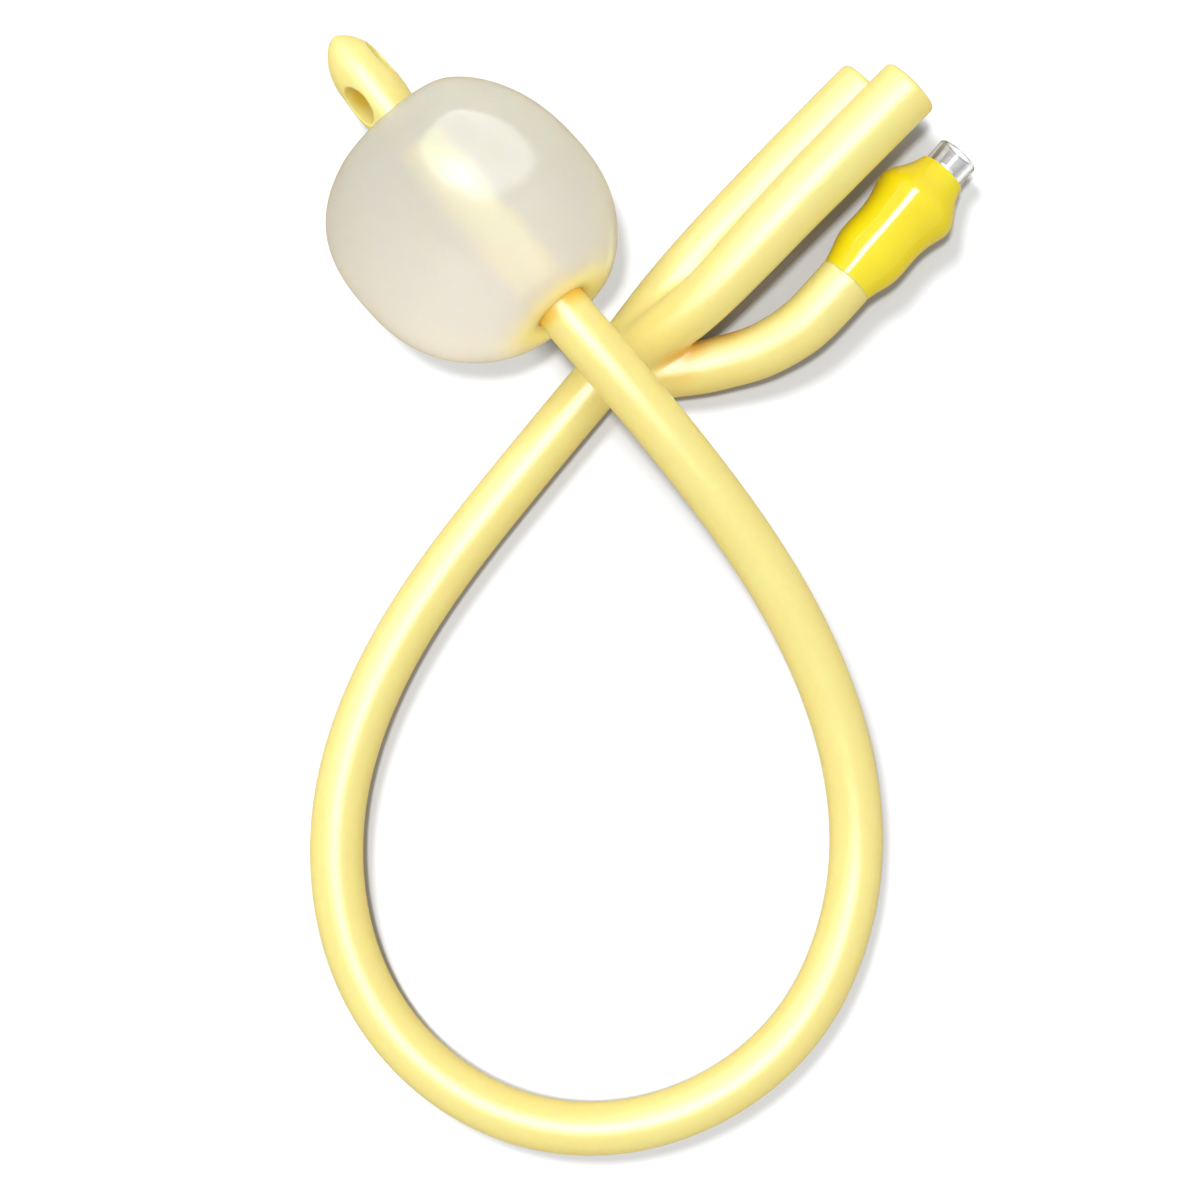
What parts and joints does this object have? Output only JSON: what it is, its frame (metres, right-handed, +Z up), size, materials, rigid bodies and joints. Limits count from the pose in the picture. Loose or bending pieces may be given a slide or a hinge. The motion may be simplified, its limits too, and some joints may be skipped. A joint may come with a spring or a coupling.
{
  "type": "foley urinary catheter",
  "caption": "Latex urinary catheter lying in an open loop: retention balloon inflated behind a rounded tip with eyes, drainage and irrigation funnels, and a valved inflation arm.",
  "frame": {"origin": "middle of the footprint, on the surface it lies on", "axes": "+Z up; +X the way the drainage funnel opens; the tip points roughly along +Y"},
  "size_m": [0.1448, 0.143, 0.0361],
  "materials": {
    "latex": "smooth, slightly shiny, translucent pale yellow latex",
    "balloon_film": "thin milky translucent latex film",
    "sleeve_yellow": "glossy",
    "clear_plastic": "clear, polished",
    "white_plastic": "satin",
    "seal_rubber": "matt",
    "spring_steel": "drawn wire"
  },
  "bodies": {
    "catheter": {"tip": "latex", "shaft": "latex", "balloon": "balloon_film", "funnel_hub": "latex", "valve_sleeve": "sleeve_yellow", "valve_housing": "clear_plastic", "valve_retainer": "white_plastic", "valve_spring": "spring_steel"},
    "plunger": {"valve_plunger": "white_plastic", "valve_seal": "seal_rubber"}
  },
  "joints": [
    {"name": "valve_press", "type": "slide", "parent": "catheter", "child": "plunger", "axis": [-0.9959, -0.0574, 0.0698], "range_m": [0, 0.002], "stiffness_N_per_m": 400, "deforming": ["valve_spring"]}
  ]
}
